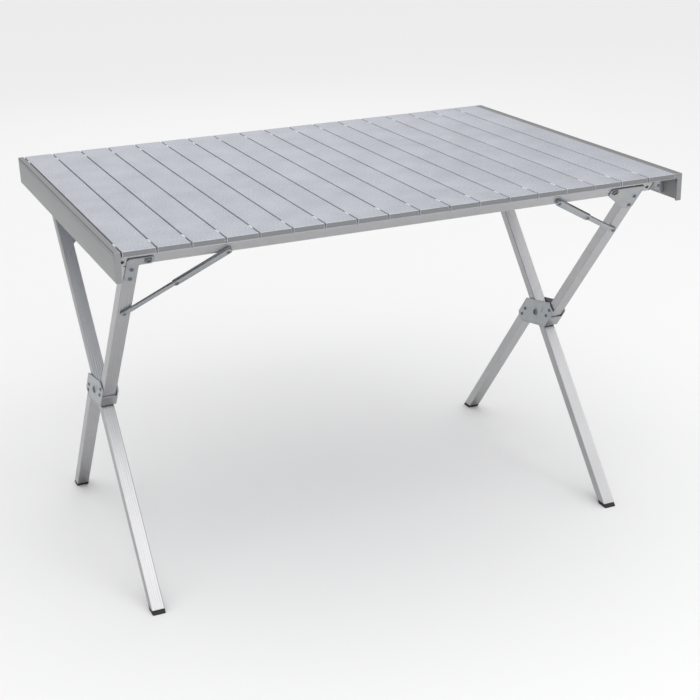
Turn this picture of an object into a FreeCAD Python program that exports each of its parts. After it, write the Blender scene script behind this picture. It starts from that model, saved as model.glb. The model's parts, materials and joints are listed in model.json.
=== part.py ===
import FreeCAD, Part
import Sketcher
import math
import os

# Folding table with a slatted roll-up top on a crossed-leg base.
# The table stands on z = 0 and is centred on the origin. X runs along the
# rails, across the slats. The near side is at -Y.
# The base is two flat ladder frames, crossed like scissors at two hubs. Each
# ladder is drawn upright about the hub line, in its closed position, and is
# then swung out by the opening angle.

os.makedirs("parts", exist_ok=True)

document = FreeCAD.newDocument("table")
sheet = document.addObject("Spreadsheet::Sheet", "Sizes")

sizes = {
    "topDepth": 760,
    "topHeight": 700,
    "slatCount": 18,
    "slatWidth": 54,
    "slatGap": 2.5,
    "slatThick": 9.5,
    "slatWall": 0.9,
    "slatEndWall": 5,
    "slatEdge": 1.2,
    "rimLeft": 11,
    "rimRight": 16.5,
    "skirtDrop": 50,
    "skirtWall": 4,
    "skirtReturn": 10,
    "skirtEdge": 2.2,
    "joinerLength": 2.2,
    "joinerWidth": 16,
    "joinerTall": 6,
    "joinerInset": 46,
    "joinerDrop": 0.4,
    "tubeWide": 25,
    "tubeThick": 20,
    "tubeWall": 1.3,
    "tubeEdge": 1.8,
    "innerLegWide": 24.2,
    "hubHeight": 333,
    "openAngle": 39.7,
    "legSpread": 30,
    "railLength": 997,
    "railCentre": -8,
    "railPlugHead": 2.5,
    "plugDepth": 22,
    "plugPlay": 0.2,
    "nearRailHeight": 469.1,
    "farRailHeight": 443.8,
    "leftLeg": -481.6,
    "rightLeg": 464.8,
    "leftPivot": -456.5,
    "rightPivot": 413.8,
    "railToLeg": 1.6,
    "legHalfGap": 20,
    "footTall": 7,
    "footTongue": 24,
    "plateThick": 2.5,
    "plateDrop": 55.5,
    "plateRise": 8,
    "plateReach": 9.5,
    "plateCorner": 5,
    "plateRivetHigh": 8.8,
    "plateRivetLow": 34.5,
    "wideCorner": 37.5,
    "eyeletRadius": 10,
    "hubWide": 25.8,
    "hubPlate": 2.5,
    "hubNarrow": 18,
    "hubReach": 42.5,
    "hubStep": 8,
    "hubTall": 62,
    "hubWebTop": 40,
    "hubCorner": 7,
    "hubPin": 4,
    "hubPinPlay": 0.05,
    "hubRivetNear": 31,
    "hubRivetFar": 51,
    "rivetHead": 3.6,
    "rivetShank": 2.2,
    "rivetDome": 1.4,
    "pivotHead": 6.5,
    "pivotShank": 3.5,
    "pivotDome": 2,
    "braceWide": 13,
    "braceDeep": 6,
    "braceWall": 1.3,
    "braceSlimWide": 9.8,
    "braceSlimDeep": 4,
    "braceSlimLift": 0.5,
    "braceEnd": 7,
    "braceRailDrop": 5,
    "leftBraceAlong": 133.6,
    "leftBraceDown": 143,
    "rightBraceAlong": 115.8,
    "rightBraceDown": 118.8,
    "leftBraceJoint": 0.445,
    "rightBraceJoint": 0.46,
    "braceLap": 17,
    "catchWide": 26,
    "catchTall": 34,
    "catchFlange": 8,
    "catchWall": 1.6,
    "catchY": 331,
    "catchTop": 689,
    "overrun": 1,
    "parallel": 0.999,
}

for row, (alias, amount) in enumerate(sizes.items(), start=1):
    sheet.set(f"A{row}", alias)
    sheet.set(f"B{row}", str(amount))
    sheet.setAlias(f"B{row}", alias)
document.recompute()


def size(alias):
    return float(sheet.get(alias))


def turned(axis, angle, place=(0, 0, 0)):
    return FreeCAD.Placement(FreeCAD.Vector(*place), FreeCAD.Rotation(FreeCAD.Vector(*axis), angle))


def moved(x, y, z):
    return FreeCAD.Placement(FreeCAD.Vector(x, y, z), FreeCAD.Rotation())


hubLift = moved(0, 0, size("hubHeight"))
nearLadder = hubLift.multiply(turned((1, 0, 0), size("openAngle")))
farLadder = hubLift.multiply(turned((1, 0, 0), -size("openAngle")))

finished = []


def keep(item, label):
    item.Label = label
    finished.append(item)
    return item


def box(name, length, width, height, place):
    item = document.addObject("Part::Box", name)
    item.setExpression("Length", length)
    item.setExpression("Width", width)
    item.setExpression("Height", height)
    item.Placement = place
    return item


def cylinder(name, radius, height, place):
    item = document.addObject("Part::Cylinder", name)
    item.setExpression("Radius", radius)
    item.setExpression("Height", height)
    item.Placement = place
    return item


def cut(name, base, tool):
    item = document.addObject("Part::Cut", name)
    item.Base = base
    item.Tool = tool
    return item


def common(name, base, tool):
    item = document.addObject("Part::Common", name)
    item.Base = base
    item.Tool = tool
    return item


def fuse(name, shapes):
    item = document.addObject("Part::MultiFuse", name)
    item.Shapes = shapes
    return item


def group(name, members):
    item = document.addObject("Part::Compound", name)
    item.Links = members
    return item


def rounded(name, base, radius, direction):
    # Rounds every straight edge of the base that runs along one direction.
    document.recompute()
    item = document.addObject("Part::Fillet", name)
    item.Base = base
    wanted = base.Placement.Rotation.multVec(FreeCAD.Vector(*direction))
    edges = []
    for number, edge in enumerate(base.Shape.Edges, start=1):
        span = edge.Vertexes[-1].Point - edge.Vertexes[0].Point
        if span.Length > 0 and abs(span.normalize().dot(wanted)) > size("parallel"):
            edges.append((number, size(radius), size(radius)))
    item.Edges = edges
    return item


def bodyPlane(body, role):
    for feature in body.Origin.OriginFeatures:
        if feature.Role == role:
            return feature
    raise ValueError(role)


def pinPoint(sketch, geometry, vertex, axis, amount):
    # Fixes one coordinate of a sketch point at the value of an expression.
    kind = "DistanceX" if axis == 0 else "DistanceY"
    number = sketch.addConstraint(Sketcher.Constraint(kind, -1, 1, geometry, vertex, amount[0]))
    sketch.setExpression(f"Constraints[{number}]", amount[1])


def measured(expression):
    # The present value of an expression, and the expression itself.
    sheet.set("D1", "=" + expression.replace("Sizes.", ""))
    sheet.recompute()
    return float(sheet.get("D1")), expression


def outlineBody(name, plane, corners, holes, depth, radius, place):
    # A flat plate: a closed outline with round holes, padded to its depth.
    body = document.addObject("PartDesign::Body", name)
    sketch = body.newObject("Sketcher::SketchObject", name + "_outline")
    sketch.AttachmentSupport = [(bodyPlane(body, plane), "")]
    sketch.MapMode = "FlatFace"
    points = [(measured(across), measured(up)) for across, up in corners]
    count = len(points)
    for index in range(count):
        start = points[index]
        end = points[(index + 1) % count]
        sketch.addGeometry(Part.LineSegment(
            FreeCAD.Vector(start[0][0], start[1][0], 0),
            FreeCAD.Vector(end[0][0], end[1][0], 0)))
    for index in range(count):
        sketch.addConstraint(Sketcher.Constraint("Coincident", index, 2, (index + 1) % count, 1))
    for index, point in enumerate(points):
        pinPoint(sketch, index, 1, 0, point[0])
        pinPoint(sketch, index, 1, 1, point[1])
    for across, up, hole in holes:
        centre = (measured(across), measured(up))
        circle = sketch.addGeometry(Part.Circle(
            FreeCAD.Vector(centre[0][0], centre[1][0], 0),
            FreeCAD.Vector(0, 0, 1), size(hole)))
        pinPoint(sketch, circle, 3, 0, centre[0])
        pinPoint(sketch, circle, 3, 1, centre[1])
        number = sketch.addConstraint(Sketcher.Constraint("Radius", circle, size(hole)))
        sketch.setExpression(f"Constraints[{number}]", "Sizes." + hole)
    pad = body.newObject("PartDesign::Pad", name + "_pad")
    pad.Profile = sketch
    pad.setExpression("Length", depth)
    body.Tip = pad
    document.recompute()
    if radius:
        normal = sketch.Placement.Rotation.multVec(FreeCAD.Vector(0, 0, 1))
        edges = []
        for number, edge in enumerate(pad.Shape.Edges, start=1):
            if len(edge.Vertexes) != 2:
                continue
            span = edge.Vertexes[1].Point - edge.Vertexes[0].Point
            if abs(span.normalize().dot(normal)) > size("parallel"):
                edges.append(f"Edge{number}")
        fillet = body.newObject("PartDesign::Fillet", name + "_corners")
        fillet.Base = (pad, edges)
        fillet.setExpression("Radius", "Sizes." + radius)
        body.Tip = fillet
    body.Placement = place
    return body


def makeSlat(number, left):
    # A closed aluminium extrusion with two chambers, plugged at both ends.
    name = f"slat_{number:02d}"
    depth = size("topDepth")
    base = size("topHeight") - size("slatThick")
    outer = box(name + "_skin", "Sizes.slatWidth", "Sizes.topDepth", "Sizes.slatThick",
                moved(left, -depth / 2, base))
    soft = rounded(name + "_soft", outer, "slatEdge", (0, 1, 0))
    wall = size("slatWall")
    half = (size("slatWidth") - 3 * wall) / 2
    chambers = []
    for side, offset in enumerate((wall, 2 * wall + half)):
        chambers.append(box(
            f"{name}_chamber{side}",
            "(Sizes.slatWidth - 3 * Sizes.slatWall) / 2",
            "Sizes.topDepth - 2 * Sizes.slatEndWall",
            "Sizes.slatThick - 2 * Sizes.slatWall",
            moved(left + offset, -depth / 2 + size("slatEndWall"), base + wall)))
    keep(cut(name, soft, fuse(name + "_hollow", chambers)), name)


def makeJoiner(number, gapCentre):
    # Two short joiners in the gap before a slat, one towards each long edge.
    name = f"joiner_{number:02d}"
    base = size("topHeight") - size("joinerDrop") - size("joinerTall")
    inset = size("topDepth") / 2 - size("joinerInset")
    pair = []
    for side in (-1, 1):
        pair.append(box(
            f"{name}_side{side + 1}", "Sizes.joinerLength", "Sizes.joinerWidth", "Sizes.joinerTall",
            moved(gapCentre + size("slatGap") / 2 - size("joinerLength"),
                  side * inset - size("joinerWidth") / 2, base)))
    keep(group(name, pair), name)


def makeSkirt(name, outerX, inward, rim):
    # An apron board: a rim level with the slats, a wall that drops from it and
    # a short return at each end of the wall.
    corners = [
        ("0", "0"),
        (f"{inward} * Sizes.{rim}", "0"),
        (f"{inward} * Sizes.{rim}", "-Sizes.slatThick"),
        (f"{inward} * Sizes.skirtWall", "-Sizes.slatThick"),
        (f"{inward} * Sizes.skirtWall", "-Sizes.skirtDrop"),
        ("0", "-Sizes.skirtDrop"),
    ]
    body = outlineBody(name + "_board", "XZ_Plane", corners, [], "Sizes.topDepth", None,
                       moved(outerX, size("topDepth") / 2, size("topHeight")))
    pad = body.Tip
    edges = []
    for number, edge in enumerate(pad.Shape.Edges, start=1):
        middle = edge.CenterOfMass
        onOutside = abs(middle.x) < 0.01 and abs(edge.Length - size("topDepth")) < 0.01
        if onOutside and middle.z > -size("skirtWall"):
            edges.append(f"Edge{number}")
    fillet = body.newObject("PartDesign::Fillet", name + "_edge")
    fillet.Base = (pad, edges)
    fillet.setExpression("Radius", "Sizes.skirtEdge")
    body.Tip = fillet
    half = size("topDepth") / 2
    returns = [box(f"{name}_return{index}", "Sizes.skirtReturn", "Sizes.skirtWall",
                   "Sizes.skirtDrop - Sizes.slatThick + Sizes.overrun",
                   moved(min(outerX, outerX + inward * size("skirtReturn")), endY,
                         size("topHeight") - size("skirtDrop")))
               for index, endY in enumerate((-half, half - size("skirtWall")))]
    keep(fuse(name, [body] + returns), name)


def makeCatches(name, wallX, inward):
    # Two riveted angle brackets inside an apron, level with the rail ends.
    pair = []
    for index, side in enumerate((-1, 1)):
        nearY = side * size("catchY")
        shift = 0 if side < 0 else -size("catchWide")
        back = box(f"{name}_back{index}", "Sizes.catchWall", "Sizes.catchWide", "Sizes.catchTall",
                   moved(min(wallX, wallX + inward * size("catchWall")), nearY + shift,
                         size("catchTop") - size("catchTall")))
        flangeY = nearY if side < 0 else nearY - size("catchWall")
        flange = box(f"{name}_flange{index}", "Sizes.catchFlange", "Sizes.catchWall", "Sizes.catchTall",
                     moved(min(wallX, wallX + inward * size("catchFlange")), flangeY,
                           size("catchTop") - size("catchTall")))
        pair.append(fuse(f"{name}_bracket{index}", [back, flange]))
    keep(group(name, pair), name)


def hollowTube(name, wide, place, start, end):
    # A rectangular tube along local Z, its middle at the placement's origin.
    length = f"({end}) - ({start})"
    low = measured(start)[0]
    width = size(wide)
    thick = size("tubeThick")
    wall = size("tubeWall")
    outer = box(name + "_outer", f"Sizes.{wide}", "Sizes.tubeThick", length,
                place.multiply(moved(-width / 2, -thick / 2, low)))
    soft = rounded(name + "_soft", outer, "tubeEdge", (0, 0, 1))
    bore = box(name + "_bore", f"Sizes.{wide} - 2 * Sizes.tubeWall",
               "Sizes.tubeThick - 2 * Sizes.tubeWall", f"{length} + 2 * Sizes.overrun",
               place.multiply(moved(wall - width / 2, wall - thick / 2, low - size("overrun"))))
    return cut(name, soft, bore)


def floorSlab(name, low, high):
    # A wide slab between two heights, used to cut tube ends level.
    return box(name, "Sizes.topDepth", "Sizes.topDepth * 3", f"({high}) - ({low})",
               moved(-size("topDepth") / 2, -1.5 * size("topDepth"), measured(low)[0]))


def levelCut(name, tube, legX):
    slab = floorSlab(name + "_above", "Sizes.footTall", "Sizes.topHeight")
    slab.Placement.Base.x += legX
    return common(name, tube, slab)


def makeFoot(name, legX, ladder, offset, wide):
    # A plug in the tube's end: a flush band cut level with the floor, and a tongue.
    place = ladder.multiply(moved(legX, offset, 0))
    deep = -size("hubHeight") * 2
    width = size(wide)
    thick = size("tubeThick")
    wall = size("tubeWall") + size("plugPlay")
    stub = box(name + "_stub", f"Sizes.{wide}", "Sizes.tubeThick", "Sizes.hubHeight * 2",
               place.multiply(moved(-width / 2, -thick / 2, deep)))
    core = box(name + "_core", f"Sizes.{wide} - 2 * (Sizes.tubeWall + Sizes.plugPlay)",
               "Sizes.tubeThick - 2 * (Sizes.tubeWall + Sizes.plugPlay)", "Sizes.hubHeight * 2",
               place.multiply(moved(wall - width / 2, wall - thick / 2, deep)))
    low = floorSlab(name + "_low", "0", "Sizes.footTall")
    low.Placement.Base.x += legX
    high = floorSlab(name + "_high", "Sizes.footTall", "Sizes.footTall + Sizes.footTongue")
    high.Placement.Base.x += legX
    stubSoft = rounded(name + "_soft", stub, "tubeEdge", (0, 0, 1))
    band = common(name + "_band", stubSoft, low)
    tongue = common(name + "_tongue", core, high)
    return fuse(name, [band, tongue])


def makeRail(name, ladder, offset, height):
    # The rail is the same tube as the legs, laid along X, flat in its ladder.
    length = size("railLength")
    lay = ladder.multiply(moved(size("railCentre") - length / 2, offset, size(height)))
    alongX = FreeCAD.Placement(FreeCAD.Vector(), FreeCAD.Rotation(FreeCAD.Vector(0, 1, 0), 90))
    tube = hollowTube(name, "tubeWide", lay.multiply(alongX), "0", "Sizes.railLength")
    keep(tube, name)
    plugs = []
    wide = size("tubeWide")
    thick = size("tubeThick")
    wall = size("tubeWall") + size("plugPlay")
    head = size("railPlugHead")
    for index, headX in enumerate((-head, length)):
        coreX = 0 if index == 0 else length - size("plugDepth")
        cap = box(f"{name}_plug{index}_head", "Sizes.railPlugHead", "Sizes.tubeThick", "Sizes.tubeWide",
                  lay.multiply(moved(headX, -thick / 2, -wide / 2)))
        soft = rounded(f"{name}_plug{index}_soft", cap, "tubeEdge", (1, 0, 0))
        core = box(f"{name}_plug{index}_core", "Sizes.plugDepth",
                   "Sizes.tubeThick - 2 * (Sizes.tubeWall + Sizes.plugPlay)",
                   "Sizes.tubeWide - 2 * (Sizes.tubeWall + Sizes.plugPlay)",
                   lay.multiply(moved(coreX, wall - thick / 2, wall - wide / 2)))
        plugs.append(fuse(f"{name}_plug{index}", [soft, core]))
    keep(group(name + "_plugs", plugs), name + "_plugs")


def cornerPlate(name, ladder, leg, pivot, railHeight, tube, side):
    # Joins a leg to its rail: an eyelet round the pivot, and a tab down the leg.
    # side is -1 where the plate lies on the near face and 1 on the far face.
    rail = f"Sizes.{railHeight}"
    legX = f"Sizes.{leg}"
    pivotX = f"Sizes.{pivot}"
    inward = 1 if size(pivot) > size(leg) else -1
    outer = f"{legX} - {inward} * Sizes.plateReach"
    inner = f"{legX} + {inward} * Sizes.plateReach"
    reach = f"{pivotX} + {inward} * Sizes.eyeletRadius"
    low = f"{rail} - Sizes.plateDrop"
    top = f"{rail} + Sizes.plateRise"
    under = f"{rail} - Sizes.eyeletRadius"
    corners = [(outer, low), (inner, low), (inner, under), (reach, under), (reach, top), (outer, top)]
    if abs(size(pivot) - size(leg)) > size("wideCorner"):
        corners = [(outer, low), (inner, low), (reach, under), (reach, top), (outer, top)]
    edgeRivet = f"{rail} - Sizes.tubeWide / 2"
    holes = [
        (pivotX, rail, "pivotShank"),
        (legX, f"{edgeRivet} - Sizes.plateRivetHigh", "rivetShank"),
        (legX, f"{edgeRivet} - Sizes.plateRivetLow", "rivetShank"),
    ]
    face = side * size("tubeThick") / 2 + tube
    lift = 0 if side < 0 else size("plateThick")
    place = ladder.multiply(moved(0, face + lift, 0))
    return outlineBody(name, "XZ_Plane", corners, holes, "Sizes.plateThick", "plateCorner", place)


def domedPin(name, head, dome, shank, grip, place):
    # A rivet along local Z: its head stands on z = 0, its shank goes below.
    cap = cylinder(name + "_head", f"Sizes.{head}", f"Sizes.{dome}", place)
    stem = cylinder(name + "_shank", f"Sizes.{shank}", grip,
                    place.multiply(moved(0, 0, -measured(grip)[0])))
    return fuse(name, [cap, stem])


def facing(side):
    # Turns local Z to point out of a ladder's near (-1) or far (1) face.
    return turned((1, 0, 0), -side * 90)


def plateRivets(name, ladder, leg, pivot, railHeight, tube, side):
    face = side * (size("tubeThick") / 2 + size("plateThick")) + tube
    rail = size(railHeight)
    edge = rail - size("tubeWide") / 2
    spots = [(size(leg), edge - size("plateRivetHigh")), (size(leg), edge - size("plateRivetLow"))]
    pins = [domedPin(f"{name}_{index}", "rivetHead", "rivetDome", "rivetShank", "Sizes.plateThick",
                     ladder.multiply(moved(x, face, height)).multiply(facing(side)))
            for index, (x, height) in enumerate(spots)]
    pins.append(domedPin(name + "_pivot", "pivotHead", "pivotDome", "pivotShank", "Sizes.plateThick",
                         ladder.multiply(moved(size(pivot), face, rail)).multiply(facing(side))))
    return pins


def makeLink(name, place, start, end, wide, deep, lift, side):
    # One channel of a folding brace, along local X, open towards the leg.
    length = end - start + 2 * size("braceEnd")
    width = size(wide)
    depth = size(deep)
    wall = size("braceWall")
    first = start - size("braceEnd")
    outward = -1 if side < 0 else 1
    low = lift * outward if side > 0 else -lift - depth
    span = document.addObject("Part::Box", name + "_skin")
    span.Length = length
    span.setExpression("Width", f"Sizes.{deep}")
    span.setExpression("Height", f"Sizes.{wide}")
    span.Placement = place.multiply(moved(first, low, -width / 2))
    soft = rounded(name + "_soft", span, "braceWall", (1, 0, 0))
    trough = document.addObject("Part::Box", name + "_trough")
    trough.Length = length + 2 * size("overrun")
    trough.setExpression("Width", f"Sizes.{deep}")
    trough.setExpression("Height", f"Sizes.{wide} - 2 * Sizes.braceWall")
    trough.Placement = place.multiply(moved(first - size("overrun"), low - outward * wall,
                                            wall - width / 2))
    holes = []
    for index, along in enumerate((start, end)):
        holes.append(cylinder(f"{name}_hole{index}", "Sizes.rivetShank", "Sizes.braceDeep * 4",
                              place.multiply(moved(along, outward * 2 * size("braceDeep"), 0))
                              .multiply(facing(-side))))
    return cut(name, soft, fuse(name + "_voids", [trough] + holes))


def makeBrace(name, ladder, leg, pivot, railHeight, tube, side, along, down, joint):
    # A two-link brace from the rail to the leg, with a joint near its middle.
    inward = 1 if size(pivot) > size(leg) else -1
    railX = size(pivot) + inward * size(along)
    railZ = size(railHeight) - size("braceRailDrop")
    legX = size(leg)
    legZ = railZ - size(down)
    length = math.hypot(railX - legX, railZ - legZ)
    angle = math.degrees(math.atan2(legZ - railZ, legX - railX))
    face = tube + side * size("tubeThick") / 2
    place = ladder.multiply(moved(railX, face, railZ)).multiply(turned((0, 1, 0), -angle))
    knee = length * size(joint)
    outer = makeLink(name + "_railLink", place, 0, knee + size("braceLap") - size("braceEnd"),
                     "braceWide", "braceDeep", 0, side)
    inner = makeLink(name + "_legLink", place, knee - size("braceLap") + size("braceEnd"), length,
                     "braceSlimWide", "braceSlimDeep", size("braceSlimLift"), side)
    return [outer, inner], place, length, knee


def braceRivets(name, place, length, knee, side):
    outer = size("braceDeep") * side
    inner = (size("braceSlimLift") + size("braceSlimDeep")) * side
    start = knee + size("braceLap") - size("braceEnd")
    pins = []
    for index, (along, height) in enumerate(((0, outer), (length, inner), (start, outer))):
        pins.append(domedPin(f"{name}_{index}", "rivetHead", "rivetDome", "rivetShank",
                             "Sizes.braceWall",
                             place.multiply(moved(along, height, 0)).multiply(facing(side))))
    return pins


def makeHub(name, leg):
    # A pressed bracket: two side plates round both leg halves, joined by a web
    # low across the near face of the upper half.
    narrow = "Sizes.hubNarrow"
    reach = "Sizes.hubReach"
    step = "Sizes.hubStep"
    tall = "Sizes.hubTall"
    spread = "Sizes.legSpread"
    corners = [
        (reach, f"-{tall}"),
        (narrow, f"-{tall}"),
        (f"-{reach}", step),
        (f"-{reach}", tall),
        (f"-{narrow}", tall),
        (reach, f"-{step}"),
    ]
    holes = [("0", "0", "hubPin")]
    for along in ("Sizes.hubRivetNear", "Sizes.hubRivetFar"):
        holes.append((f"-{spread}", along, "rivetShank"))
        holes.append((spread, f"-{along}", "rivetShank"))
    outside = size("hubWide") / 2 + size("hubPlate")
    plates = outlineBody(name + "_block", "YZ_Plane", corners, holes,
                         "Sizes.hubWide + 2 * Sizes.hubPlate", "hubCorner",
                         nearLadder.multiply(moved(size(leg) - outside, 0, 0)))
    inside = box(name + "_inside", "Sizes.hubWide", "2 * (Sizes.hubReach + Sizes.overrun)",
                 "2 * (Sizes.hubTall + Sizes.overrun)",
                 nearLadder.multiply(moved(size(leg) - size("hubWide") / 2,
                                           size("hubPlate") - size("hubReach"),
                                           -size("hubTall") - size("overrun"))))
    window = box(name + "_window", "Sizes.hubWide", "Sizes.hubReach",
                 "Sizes.hubTall - Sizes.hubWebTop + Sizes.overrun",
                 nearLadder.multiply(moved(size(leg) - size("hubWide") / 2,
                                           -size("hubReach") - size("overrun"),
                                           size("hubWebTop"))))
    return cut(name, plates, fuse(name + "_opening", [inside, window]))


def hubRivets(name, leg):
    pins = []
    outside = size("hubWide") / 2 + size("hubPlate")
    spots = [(-half * size("legSpread"), half * size(along))
             for half in (1, -1) for along in ("hubRivetNear", "hubRivetFar")]
    for face in (-1, 1):
        turn = turned((0, 1, 0), 90 * face)
        for index, (offset, along) in enumerate(spots):
            place = nearLadder.multiply(moved(size(leg) + face * outside, offset, along)).multiply(turn)
            pins.append(domedPin(f"{name}_{face + 1}_{index}", "rivetHead", "rivetDome",
                                 "rivetShank", "Sizes.hubPlate", place))
    stem = cylinder(name + "_pin", "Sizes.hubPin", "Sizes.hubWide + 2 * Sizes.hubPlate",
                    nearLadder.multiply(moved(size(leg) - outside, 0, 0)).multiply(turned((0, 1, 0), 90)))
    heads = []
    for face in (-1, 1):
        heads.append(cylinder(f"{name}_pinhead{face + 1}", "Sizes.pivotHead", "Sizes.pivotDome",
                              nearLadder.multiply(moved(size(leg) + face * outside, 0, 0))
                              .multiply(turned((0, 1, 0), 90 * face))))
    pins.append(fuse(name + "_axle", [stem] + heads))
    return pins


def makeTop():
    length = (size("rimLeft") + size("rimRight")
              + size("slatCount") * (size("slatWidth") + size("slatGap")))
    left = -length / 2
    makeSkirt("skirt_left", left, 1, "rimLeft")
    makeSkirt("skirt_right", -left, -1, "rimRight")
    for number in range(1, int(size("slatCount")) + 1):
        start = left + size("rimLeft") + (number - 1) * (size("slatWidth") + size("slatGap"))
        makeJoiner(number, start + size("slatGap") / 2)
        makeSlat(number, start + size("slatGap"))
    makeCatches("catches_left", left + size("skirtWall"), 1)
    makeCatches("catches_right", -left - size("skirtWall"), -1)


def makeNearLadder():
    offset = -size("legSpread")
    makeRail("near_rail", nearLadder, offset, "nearRailHeight")
    plates = []
    rivets = []
    links = []
    feet = []
    topEnd = "Sizes.nearRailHeight - Sizes.tubeWide / 2 - Sizes.railToLeg"
    for word in ("left", "right"):
        leg = word + "Leg"
        pivot = word + "Pivot"
        upper = hollowTube(f"leg_b_{word}_upper", "tubeWide",
                           nearLadder.multiply(moved(size(leg), offset, 0)),
                           "Sizes.legHalfGap", topEnd)
        keep(upper, f"leg_b_{word}_upper")
        lower = hollowTube(f"leg_b_{word}_whole", "tubeWide",
                           nearLadder.multiply(moved(size(leg), -offset, 0)),
                           "-Sizes.hubHeight * 2", "-Sizes.legHalfGap")
        keep(levelCut(f"leg_b_{word}_lower", lower, size(leg)), f"leg_b_{word}_lower")
        feet.append(makeFoot(f"foot_b_{word}", size(leg), nearLadder, -offset, "tubeWide"))
        plates.append(cornerPlate(f"plate_near_{word}", nearLadder, leg, pivot,
                                  "nearRailHeight", offset, -1))
        rivets += plateRivets(f"rivet_near_{word}", nearLadder, leg, pivot,
                              "nearRailHeight", offset, -1)
        pair, place, length, knee = makeBrace(
            f"brace_near_{word}", nearLadder, leg, pivot, "nearRailHeight", offset, -1,
            word + "BraceAlong", word + "BraceDown", word + "BraceJoint")
        links += pair
        rivets += braceRivets(f"rivet_brace_near_{word}", place, length, knee, -1)
        keep(makeHub(f"hub_{word}", leg), f"hub_{word}")
        rivets += hubRivets(f"rivet_hub_{word}", leg)
    keep(group("far_feet", feet), "far_feet")
    keep(group("near_corner_plates", plates), "near_corner_plates")
    keep(group("near_braces", links), "near_braces")
    keep(group("near_rivets", rivets), "near_rivets")


def makeFarLadder():
    makeRail("far_rail", farLadder, 0, "farRailHeight")
    plates = []
    rivets = []
    links = []
    feet = []
    topEnd = "Sizes.farRailHeight - Sizes.tubeWide / 2 - Sizes.railToLeg"
    for word in ("left", "right"):
        leg = word + "Leg"
        pivot = word + "Pivot"
        tube = hollowTube(f"leg_a_{word}_whole", "innerLegWide",
                          farLadder.multiply(moved(size(leg), 0, 0)),
                          "-Sizes.hubHeight * 2", topEnd)
        eye = cylinder(f"leg_a_{word}_eye", "Sizes.hubPin + Sizes.hubPinPlay", "Sizes.tubeWide * 2",
                       farLadder.multiply(moved(size(leg) - size("tubeWide"), 0, 0))
                       .multiply(turned((0, 1, 0), 90)))
        drilled = cut(f"leg_a_{word}_drilled", tube, eye)
        keep(levelCut(f"leg_a_{word}", drilled, size(leg)), f"leg_a_{word}")
        feet.append(makeFoot(f"foot_a_{word}", size(leg), farLadder, 0, "innerLegWide"))
        plates.append(cornerPlate(f"plate_far_{word}", farLadder, leg, pivot, "farRailHeight", 0, 1))
        rivets += plateRivets(f"rivet_far_{word}", farLadder, leg, pivot, "farRailHeight", 0, 1)
        pair, place, length, knee = makeBrace(
            f"brace_far_{word}", farLadder, leg, pivot, "farRailHeight", 0, 1,
            word + "BraceAlong", word + "BraceDown", word + "BraceJoint")
        links += pair
        rivets += braceRivets(f"rivet_brace_far_{word}", place, length, knee, 1)
    keep(group("near_feet", feet), "near_feet")
    keep(group("far_corner_plates", plates), "far_corner_plates")
    keep(group("far_braces", links), "far_braces")
    keep(group("far_rivets", rivets), "far_rivets")


def checkAndExport():
    document.recompute()
    for item in document.Objects:
        if "Invalid" in item.State or "Error" in item.State:
            raise RuntimeError(f"{item.Name} failed: {item.State}")
    for item in finished:
        shape = item.Shape
        if shape.isNull() or not shape.isValid() or not shape.Solids:
            raise RuntimeError(f"{item.Label} has no valid shape")
    for item in finished:
        item.Shape.exportStep(f"parts/{item.Label}.step")
        print(item.Label, len(item.Shape.Solids), round(item.Shape.Volume / 1000, 1))


makeTop()
makeNearLadder()
makeFarLadder()
checkAndExport()
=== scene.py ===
import json
import math
import bmesh
import bpy
import numpy as np
from mathutils import Euler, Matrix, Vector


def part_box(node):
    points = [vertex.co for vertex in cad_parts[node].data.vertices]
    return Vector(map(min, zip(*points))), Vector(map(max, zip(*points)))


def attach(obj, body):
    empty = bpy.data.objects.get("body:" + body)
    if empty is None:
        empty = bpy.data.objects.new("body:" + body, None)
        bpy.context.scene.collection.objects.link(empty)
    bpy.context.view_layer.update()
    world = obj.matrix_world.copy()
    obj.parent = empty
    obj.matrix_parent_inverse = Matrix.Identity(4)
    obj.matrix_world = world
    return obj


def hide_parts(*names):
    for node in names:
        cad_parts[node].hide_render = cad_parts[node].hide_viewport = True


# Folding table: a roll-up top of aluminium slats on two crossed tube frames.
# X runs along the rails, and the near side is at -Y. Shapes are worked out in
# millimetres, and each mesh is in metres.

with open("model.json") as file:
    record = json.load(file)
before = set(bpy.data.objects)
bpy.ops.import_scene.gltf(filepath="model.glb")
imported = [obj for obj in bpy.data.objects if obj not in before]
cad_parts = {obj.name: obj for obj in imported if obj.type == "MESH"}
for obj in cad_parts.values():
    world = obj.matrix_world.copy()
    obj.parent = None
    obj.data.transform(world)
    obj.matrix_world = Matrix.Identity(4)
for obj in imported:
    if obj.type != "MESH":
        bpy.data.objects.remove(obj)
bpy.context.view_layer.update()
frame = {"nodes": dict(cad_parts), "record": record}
record = frame["record"]
print("frame loaded")

mm = 0.001
tiny = 1e-9  # keeps a division by a length from failing
joints = {joint["name"]: joint for joint in record["behaviour"]["joints"]}
hubHeight = joints["base_close"]["pos_m"][2]
openAngle = math.radians(joints["base_close"]["range_deg"][1] / 2)
slatCount = sum(1 for node in frame["nodes"] if node.startswith("slat_"))
hubMm = hubHeight / mm


def arc(centreX, centreY, radius, start, end, count):
    # Points on a circle about a centre, from one angle to another, in degrees.
    angle = np.radians(np.linspace(start, end, count))
    return np.stack([centreX + radius * np.cos(angle), centreY + radius * np.sin(angle)], 1)


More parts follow.
